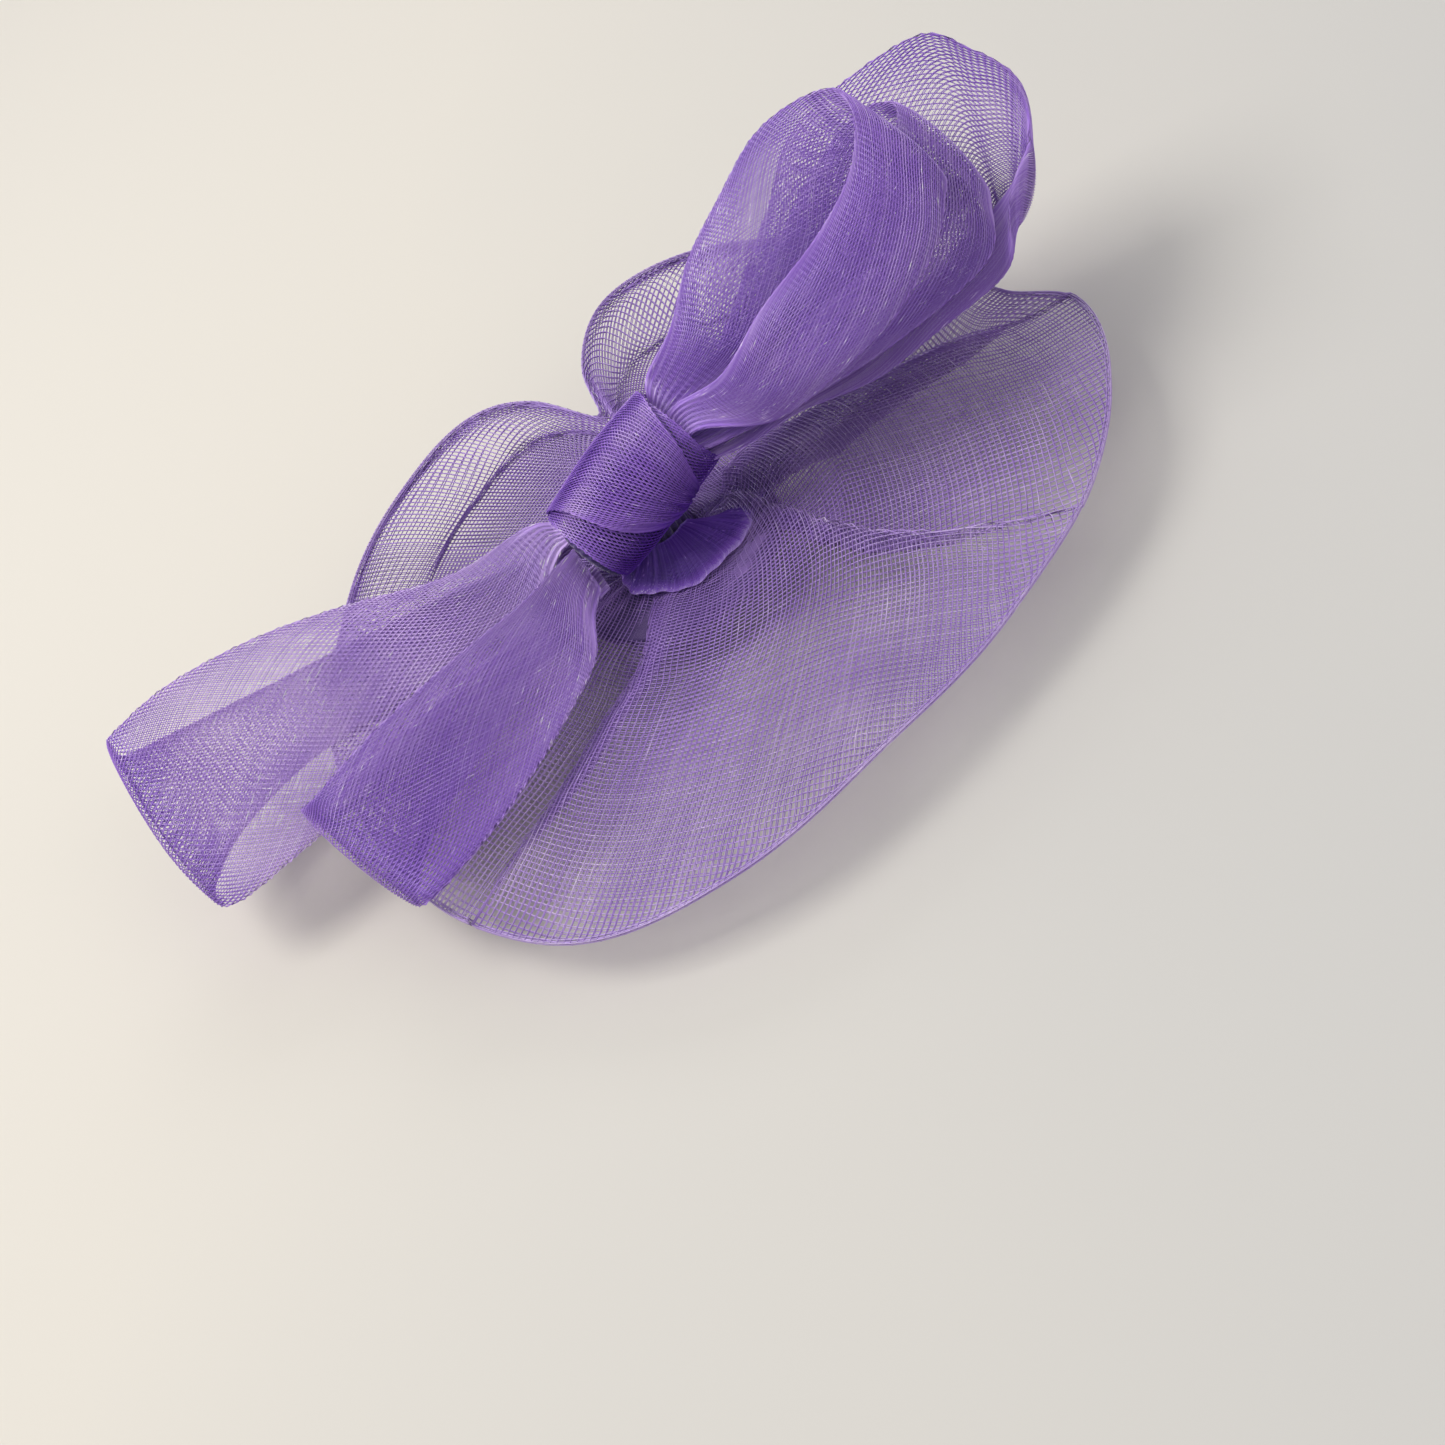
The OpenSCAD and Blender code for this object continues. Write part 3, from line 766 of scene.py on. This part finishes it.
def brim_painted_light(f, angle):
    """Painted light on the brim's strands: painted shade towards its middle, under the knot,
    where the net also closes up; painted shade in its folds, where its plies pile up; painted
    shade on the back lobes against the light that falls on them; and paler tones beside the
    short tail, a painted lift of the shadow cast there."""
    radius = BRIM_HOLE_R + f * (along_rim(angle, 1) - BRIM_HOLE_R)
    # Painted shade towards the middle, under the knot, as well as the net closing up.
    shade = -0.28 * np.exp(-f / 0.22)
    # Painted shade in the folds.
    for fold in FOLDS:
        middle, half = fold_shape(radius, fold)
        shade = shade - 0.10 * hump(off_angle(angle, 0) - middle, 0, 2.6 * half)
    # Painted shade on the back lobes, against the lamp light on them.
    lobes = hump(off_angle(angle, 62), 0, 0.42) + hump(off_angle(angle, 140), 0, 0.60)
    shade = shade - 0.24 * lobes * soft_step((f - 0.3) / 0.4)
    # Painted light: paler beside the short tail, lifting the shadow it casts.
    return shade + 0.12 * hump(off_angle(angle, -149), 0, 0.22) * soft_step(f / 0.4)


def brim_layer(name, side, mat):
    """One wall of the brim's tube as its net, with the strands of the folded edge."""
    parts = []
    for way, direction in ((-1, 0.5 * side), (1, NET_CROSSING + 0.5 * side)):
        for f, angle in net_strands(direction, 0.2 * (1 + side)):
            f = np.clip(f, 0, 1)
            normals = brim_normal(f, angle, side)
            lines = brim_point(f, angle, side) + way * WEAVE * normals
            # Each strand's tones carry the brim's painted light and shade.
            parts.append((lines, normals, brim_painted_light(f, angle)))
    angle = np.linspace(0, TAU, 400)[None] + np.zeros((3, 1))
    f = 1 - np.array([[0.0], [0.006], [0.015]]) + 0 * angle
    normals = brim_normal(f, angle, side)
    parts.append((brim_point(f, angle, side), normals))
    # Fainter painted glints, painted highlights, on the brim.
    o = strand_object(name, parts, BRIM_STRAND_R, mat, painted_glint=0.2)
    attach(o, ROOT)
    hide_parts("brim")


# ---------------- knot
KNOT_AXIS = np.array([math.cos(KNOT_TILT), 0, math.sin(KNOT_TILT)])
KNOT_UP = np.array([-math.sin(KNOT_TILT), 0, math.cos(KNOT_TILT)])


def knot_section(q, out):
    """Across and up positions q mm round the knot's section from its front, over the top,
    and out mm outside it."""
    r = KNOT_H / 2
    flat = KNOT_W - KNOT_H
    quarter = math.pi * r / 2
    q = q % KNOT_GIRTH
    over_top = np.clip(q - quarter, 0, flat)
    underneath = np.clip(q - 3 * quarter - flat, 0, flat)
    turn = (q - over_top - underneath) / r
    middle = over_top - underneath - flat / 2
    return middle - (r + out) * np.cos(turn), (r + out) * np.sin(turn)


def knot_point(s, q, out):
    across, up = knot_section(q, out)
    s, across, up = np.broadcast_arrays(s, across, up)
    return (KNOT_MID + s[..., None] * KNOT_AXIS + up[..., None] * KNOT_UP
            + across[..., None] * np.array([0, 1.0, 0]))


def wrap_path(rows):
    """Band path for a wrap of the knot: rows are [q, lower end s, upper end s, out, camber]."""
    path = []
    for q, low, high, out, camber in spline(rows, 4 * len(rows)):
        centre = knot_point((low + high) / 2, q, out)
        path.append([*centre, *(KNOT_AXIS * (high - low) / 2), -camber])
    return path


UNDER_WRAP = [
    [-34, -14, 17, -1.5, 0], [-24, -16, 20, -0.6, 0], [-12, -16.5, 21.5, 0, 0.3],
    [0, -16.5, 22, 0.2, 0.4], [9, -16.5, 23, 0.3, 0.4], [18, -17.5, 22, 0.2, 0.4],
    [28, -18.5, 20, 0, 0.3], [40, -18, 19, 0, 0.2], [52, -17, 18, -0.5, 0],
    [60, -15, 16, -1.5, 0],
]
OVER_WRAP = [
    [-15, 6, 8.5, -2.0, 0], [-10, 5.5, 10, 0.4, 0.2], [-6, 1, 13, 1.4, 0.6],
    [-1, -3, 15.5, 1.7, 1.0], [5, -7, 19, 1.7, 1.2], [11, -9.5, 20.8, 1.8, 1.2],
    [17, -12, 21.9, 2.2, 1.0], [23, -14.7, 21.9, 1.3, 0.8], [29, -18, 20.8, 1.0, 0.6],
    [38, -18.5, 20, 1.0, 0.4], [48, -17, 18, 0.4, 0.2], [56, -14, 15, -0.8, 0],
]


def knot_painted_light(rows):
    """Painted light along a wrap of the knot: painted shade underneath and in the strip behind
    its shoulder, and a painted highlight along the shoulder."""
    first, last = rows[0][0], rows[-1][0]

    def shade(share):
        q = first + (last - first) * share
        # Painted shade underneath and behind the shoulder, and a painted highlight along it.
        deep = 0.50 * soft_step((8 - q) / 17) + 0.24 * hump(q, 25, 4.5)
        return 0.14 * hump(q, 17.5, 4.0) - deep
    return shade


def knot_wrap(node_name, name, rows, waves, pleats, pleat_size, pleat_reach, mat):
    """A band of crin folded narrow round the knot."""
    tube = Tube(wrap_path(rows), waves, pleats, pleat_size, pleat_reach, gap=0.8)
    # The wrap's tones carry painted shade and a painted highlight.
    crin_band(node_name, tube, mat, 1.6, name, knot_painted_light(rows))


def knot_bundle(mat):
    """The bow's bands squeezed together inside the knot: a waisted, grooved bundle."""
    rows, columns = 60, 180
    inset, waist, end_round, grooves, groove_h = 1.7, 1.8, 1.6, 26, 0.35
    half_length = KNOT_L / 2 - 0.5
    s = np.linspace(-half_length, half_length, rows)[:, None]
    end = np.abs(s) / half_length
    q = np.linspace(0, KNOT_GIRTH, columns, endpoint=False)[None]
    out = -inset - waist * hump(s, 0, 3.2) - end_round * np.clip((end - 0.94) / 0.06, 0, 1) ** 2
    grooved = np.sin(TAU * grooves * q / KNOT_GIRTH + 0.12 * s)
    out = out + groove_h * grooved * (0.4 + 0.6 * end)
    body = knot_point(s + 0 * q, q + 0 * s, out).reshape(-1, 3)
    tips = np.stack([knot_point(s[k, 0], q[0], -11.0).mean(0) for k in (0, -1)])
    this = np.arange(columns)
    after = (this + 1) % columns
    tip = np.full(columns, len(body))
    start = (rows - 1) * columns
    faces = [tube_faces(rows, columns), np.stack([after, this, tip], -1),
             np.stack([start + this, start + after, tip + 1], -1)]
    o = new_object("knot_core_bundle", np.vstack([body, tips]), flipped(faces), mat)
    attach(o, ROOT)
    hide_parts("knot_core")


# ---------------- collar and stalk
# Outer edge of the frill: bearing, radius, height, and how high it rises at the knot.
FRILL = [[-176, 15.5, 7.4, 3], [-160, 16.5, 7.4, 6], [-129, 17.8, 7, 7], [-87, 20.7, 7, 7],
         [-54, 22.3, 7.2, 7], [-31, 23.8, 7.2, 5.5], [-16, 27, 6.4, 2.5], [-6, 29, 5.4, 0.3]]
FRILL_ENDS = (-172, -9)    # bearings where its net starts and ends
FRILL_WALLS = (0.0, 0.9)   # how far its two walls lie inside that edge


def frill_point(angle, t, inset):
    """Points of the frill of crin round the knot's lower side: from under the knot (t = 0)
    down and out to its open edge (about t = 0.85) and back under. inset shrinks it."""
    bearings, *columns = zip(*FRILL)
    edge, low, rise = (np.interp(np.degrees(angle), bearings, c) for c in columns)
    edge = edge + 0.6 * np.sin(7 * angle + 0.5) + 0.3 * np.sin(19 * angle) - inset
    low = low - 0.2 * inset
    rise = rise - 0.6 * inset
    profile = [(8.2 + 0 * edge, 1.0), (0.55 * edge, 0.72), (0.74 * edge, 0.38),
               (0.88 * edge, 0.16), (edge - 0.5, 0.06), (edge, 0.0), (edge - 2.5, -0.04)]
    k = np.clip(t, 0, 1) * (len(profile) - 1)
    radius, z = 0, 0
    for i, (r, share) in enumerate(profile):
        weight = np.clip(1 - np.abs(k - i), 0, 1)
        weight = weight * weight * (3 - 2 * weight) * 0.4 + weight * 0.6
        radius, z = radius + weight * r, z + weight * (low + share * rise)
    gathers = np.sin(23 * angle + 1.8 * np.sin(3 * angle)) + 0.5 * np.sin(41 * angle + 1)
    gathers = 0.5 * gathers * np.sin(math.pi * np.clip(t, 0, 0.9) / 0.9)
    z = z + gathers * 0.4
    radius = radius + gathers * 0.4
    return np.stack([radius * np.cos(angle), radius * np.sin(angle), z], -1)


def frill_core(mat):
    """The dense crin under the frill's open net."""
    rows, columns, inset = 300, 36, 4.2
    angle = np.radians(np.linspace(-170, -22, rows))[:, None]
    t = np.linspace(0, 1, columns)[None]
    points = frill_point(angle + 0 * t, t + 0 * angle, inset)
    o = new_object("frill_core", points, flipped(capped_faces(rows, columns)), mat)
    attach(o, ROOT)
    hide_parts("brim_collar")


def frill_braid(mat):
    """The frill's two walls of net."""
    count, steps, slant = 134, 30, 0.22
    parts = []
    for inset in FRILL_WALLS:
        for way in (-1, 1):
            start = np.linspace(*FRILL_ENDS, count) + rng.uniform(-0.2, 0.2, count)
            t = np.linspace(0, 1, steps + 1)[None]
            angle = np.radians(start)[:, None] + way * slant * (t - 0.5)
            t = t + 0 * angle
            lines = frill_point(angle, t, inset + way * WEAVE)
            outside = unit(lines - frill_point(angle, t, inset + 1.5))
            # Painted shade deep inside the frill, under the knot, giving way to paler, painted
            # light towards its open edge.
            parts.append((lines, outside, 0.42 * soft_step((t - 0.42) / 0.35) - 0.32))
    angle = np.radians(np.linspace(*FRILL_ENDS, 260))[None] + np.zeros((3, 1))
    t = np.array([[0.78], [0.81], [0.84]]) + 0 * angle
    edge = frill_point(angle, t, 0.0)
    parts.append((edge, unit(edge - frill_point(angle, t, 1.5)), 0.0))
    o = strand_object("frill_braid", parts, STRAND_R, mat)
    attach(o, ROOT)
    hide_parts("brim_collar")


def stalk(mat):
    """The squeezed crin that comes up through the brim, fluted by its gathers."""
    rows, columns = 24, 160
    waist_r, foot, knot_overlap = 8.0, PAD_TOP + 0.05, 0.6
    flat = (KNOT_W - KNOT_H) / 2
    turn = TAU * np.arange(columns)[None] / columns
    rise = np.linspace(0, 1, rows)[:, None]
    flute = 0.45 * np.sin(22 * turn) + 0.25 * np.sin(13 * turn + 1)
    radius = waist_r + flute - 0.5 * np.sin(math.pi * rise)
    x, y = radius * np.cos(turn), radius * np.sin(turn)
    under = np.sqrt(np.maximum((KNOT_H / 2) ** 2 - np.maximum(np.abs(y) - flat, 0) ** 2, 0))
    top = KNOT_MID[2] + (x - KNOT_MID[0]) * math.tan(KNOT_TILT) - under / math.cos(KNOT_TILT)
    z = foot + rise * (np.minimum(top, 24) + knot_overlap - foot)
    o = new_object("stalk_gathers", np.stack([x, y, z], -1), capped_faces(rows, columns), mat)
    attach(o, ROOT)
    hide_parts("gathered_stalk")


# ---------------- threads, felts and clip
def round_tube(line, side, up, radius, columns):
    """Points of a round tube along a line, whose side and up directions are given."""
    spin = TAU * np.arange(columns) / columns
    ring = np.cos(spin)[:, None] * side[:, None] + np.sin(spin)[:, None] * up[:, None]
    return line[:, None] + radius * ring


def twisted_thread(name, paths, radius, mat, closed=False):
    """Sewing thread along each path: plies twisted round each other."""
    step, columns = 0.22, 7
    points, faces, start = [], [], 0
    for path in paths:
        if closed:
            path = np.vstack([path, path[:1]])
        line, run = respaced(path, lambda length: max(12, int(length / step)) + 1)
        along = unit(np.gradient(line, axis=0))
        side = unit(np.cross(along, [0.31, 0.22, 0.92]))
        up = np.cross(side, along)
        for ply in range(THREAD_PLIES):
            turn = TAU * (run / THREAD_LAY + ply / THREAD_PLIES)[:, None]
            middle = line + 0.5 * radius * (np.cos(turn) * side + np.sin(turn) * up)
            points.append(round_tube(middle, side, up, 0.5 * radius, columns).reshape(-1, 3))
            faces += flipped(capped_faces(len(line), columns, start))
            start += len(line) * columns
    o = new_object(name, np.concatenate(points), faces, mat)
    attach(o, ROOT)
    return o


def gather_ring(mat):
    """The thread drawn up round the brim's hole, uneven as it runs through the mesh."""
    turn = TAU * np.arange(240) / 240
    r = BRIM_HOLE_R - 0.7 + 0.12 * np.sin(19 * turn)
    z = BRIM_MID_Z + 0.25 * np.sin(17 * turn)
    path = np.stack([r * np.cos(turn), r * np.sin(turn), z], 1)
    o = twisted_thread("gather_ring", [path], THREAD_R, mat, closed=True)
    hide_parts("gather_thread")


def binding(mat):
    """Seven turns of thread in the groove of the knot's bundle."""
    turns, steps, half_width = 7, 60, 3.0
    t = np.linspace(0, turns, turns * steps + 1)
    s = half_width * (2 * t / turns - 1) + 0.15 * np.sin(TAU * t * 0.37)
    path = knot_point(s, KNOT_GIRTH * (t % 1.0), -2.9)
    o = twisted_thread("binding_turns", [path], THREAD_R, mat)
    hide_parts("binding_thread")


def bow_stitches(mat):
    """Four legs of thread that hold the bow down, through the felts and the stalk."""
    top, wander = 12, 0.08
    z = np.linspace(0, top, 30)
    paths = []
    for x in (-4, 4):
        for y in (-3, 3):
            paths.append(np.stack([x + wander * np.sin(z), y + wander * np.cos(1.3 * z), z], 1))
    o = twisted_thread("bow_stitch_threads", paths, THREAD_R, mat)
    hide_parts("bow_stitches")


def clip_stitches(mat):
    """Whipped stitches over the clip's plate and up into the felt."""
    side, low, high = 5.0, -1.2, 0.6
    lean = np.array([0.5, 0, 0])
    t = np.linspace(0, 1, 60)[:, None]
    paths = []
    for x in (-17, -12, 12, 17):
        corners = np.array([[x, -side, high], [x, -side, low], [x, side, low], [x, side, high]])
        legs = np.concatenate([corners[k] * (1 - t) + corners[k + 1] * t for k in range(3)])
        paths.append(legs + lean * (legs[:, 1:2] / side))
    o = twisted_thread("clip_stitch_threads", paths, 0.95 * THREAD_R, mat)
    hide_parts("clip_stitches")


def felt_disc(name, node_name, radius, low, high, mat):
    """A cut disc of pressed felt: softly rounded edges and a slightly uneven, fuzzy face."""
    rings, columns = 34, 256
    edge = 0.5
    half = (high - low) / 2
    turn = TAU * np.arange(columns)[None] / columns
    arc = np.linspace(0.15, 1.5, 7)
    flat = radius - edge
    steps = np.concatenate([np.linspace(0.02, flat, rings), flat + edge * np.sin(arc)])
    drop = np.concatenate([np.zeros(rings), edge * (1 - np.cos(arc))])
    uneven = 0.12 * np.sin(9 * turn + 1) + 0.08 * np.sin(23 * turn) + 0.06 * np.sin(41 * turn)
    r = steps[:, None] * (1 + uneven / radius)
    sides = []
    for way in (1, -1):
        bumps = 0.05 * np.sin(0.9 * r * np.cos(turn) + 2 * way) * np.sin(0.8 * r * np.sin(turn))
        face = half - np.minimum(drop, half * 0.95)[:, None] - 0.05
        z = (low + high) / 2 + way * face + bumps
        sides.append(np.stack([r * np.cos(turn), r * np.sin(turn), z + 0 * turn], -1))
    points = np.concatenate([sides[0], sides[1][::-1]])
    o = new_object(name, points, capped_faces(len(points), columns), mat)
    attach(o, ROOT)
    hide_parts(node_name)


def coil_spring(mat):
    """A real torsion spring: five close turns round the pin and a leg under the plate."""
    turns, coil_r, wire_r, pitch, columns = 5, 1.15, 0.22, 0.45, 10
    leg_length, leg_tilt = 9.6, math.radians(11)
    t = np.linspace(0, turns, turns * 40 + 1)
    turn = math.pi / 2 - TAU * t
    y = (t / turns - 0.5) * (turns - 1) * pitch
    coil = np.stack([HINGE[0] + coil_r * np.cos(turn), y, HINGE[2] + coil_r * np.sin(turn)], 1)
    leg_way = np.array([math.cos(leg_tilt), 0, math.sin(leg_tilt)])
    leg = coil[-1] + np.linspace(0, leg_length, 30)[1:, None] * leg_way
    line = np.vstack([coil, leg])
    along = unit(np.gradient(line, axis=0))
    side = unit(np.cross(along, [0, 1.0, 0.02]))
    wire = round_tube(line, side, np.cross(side, along), wire_r, columns)
    o = new_object("spring_coil", wire, flipped(capped_faces(len(line), columns)), mat)
    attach(o, ROOT)
    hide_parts("clip_spring")


def plate_clip(mat):
    """The clip's own CAD parts, which stay visible, in plated steel."""
    for name in ("clip_plate", "clip_jaw", "clip_pin"):
        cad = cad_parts[name]
        cad.data.materials.clear()
        cad.data.materials.append(mat)
        for face in cad.data.polygons:
            face.material_index = 0


def lay_floor():
    """A floor at the lowest point of the headpiece."""
    floor_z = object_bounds()[0][2]
    bpy.ops.mesh.primitive_plane_add(size=8, location=(0, 0, floor_z))
    floor = bpy.context.object
    floor.name = "floor"
    floor.data.materials.append(floor_material())


# ---------------- build
place_camera()
light_scene()

brim_crin = crin_material("crin_brim", pale=(0.82, 0.66, 0.95), middle=(0.46, 0.29, 0.72),
                          deep=(0.24, 0.12, 0.48))
bow_crin = crin_material("crin_bow", pale=(0.76, 0.55, 0.97), middle=(0.42, 0.225, 0.76),
                         deep=(0.22, 0.09, 0.54))
knot_crin = crin_material("crin_knot", pale=(0.78, 0.56, 1.0), middle=(0.42, 0.205, 0.80),
                          deep=(0.13, 0.035, 0.40))
# The frill's crin is darker than the bow's: partly painted shade, under the knot, partly its
# denser gathers.
frill_crin_shaded = crin_material("crin_frill", pale=(0.66, 0.46, 0.92), middle=(0.29, 0.12, 0.68),
                           deep=(0.07, 0.018, 0.29))
# Packed crin, near-black with painted shade.
packed_crin_shaded = packed_crin_material()
felt = felt_material()
thread = thread_material()
steel = steel_material()

brim_layer("brim_upper_braid", 1, brim_crin)
brim_layer("brim_lower_braid", -1, brim_crin)

crin_band("front_loop", Tube(FRONT_LOOP, [(1.5, 0.6, 0.4), (3, -0.8, 0.2)]), bow_crin)
crin_band("middle_loop", Tube(MIDDLE_LOOP, [(1.3, 0.7, 0.4), (2.6, -0.9, 0.2)]), bow_crin)
crin_band("back_loop", Tube(BACK_LOOP, [(1.2, 0.5, 0.5), (2.8, 0.8, 0.2)]), bow_crin)
crin_band("long_tail", Tube(LONG_TAIL, [(1.1, 0.6, 0.5), (2.4, -0.7, 0.3)]), bow_crin,
          shade=turned_end(0.17, 0.49, 0.04), loose=LOOSE_ENDS)
crin_band("short_tail", Tube(SHORT_TAIL, [(1.4, 0.6, 0.4), (2.7, -0.8, 0.2)]), bow_crin,
          shade=turned_end(0.06, 0.46, 0.05))

knot_bundle(packed_crin_shaded)
knot_wrap(None, "knot_under_wrap", UNDER_WRAP, [(2, 1.5, 0.12)], 6, 0.3, 12, knot_crin)
knot_wrap("knot_band", "knot_over_wrap", OVER_WRAP, [(1.5, 1.2, 0.15)], 5, 0.4, 16, knot_crin)
frill_core(packed_crin_shaded)
frill_braid(frill_crin_shaded)
stalk(packed_crin_shaded)
gather_ring(thread)
binding(thread)
bow_stitches(thread)
clip_stitches(thread)
felt_disc("pad_felt", "felt_pad", 30.0, FELT_JOIN, PAD_TOP, felt)
felt_disc("under_felt", "backing_felt", 28.0, 0.0, FELT_JOIN, felt)
coil_spring(steel)
plate_clip(steel)
lay_floor()
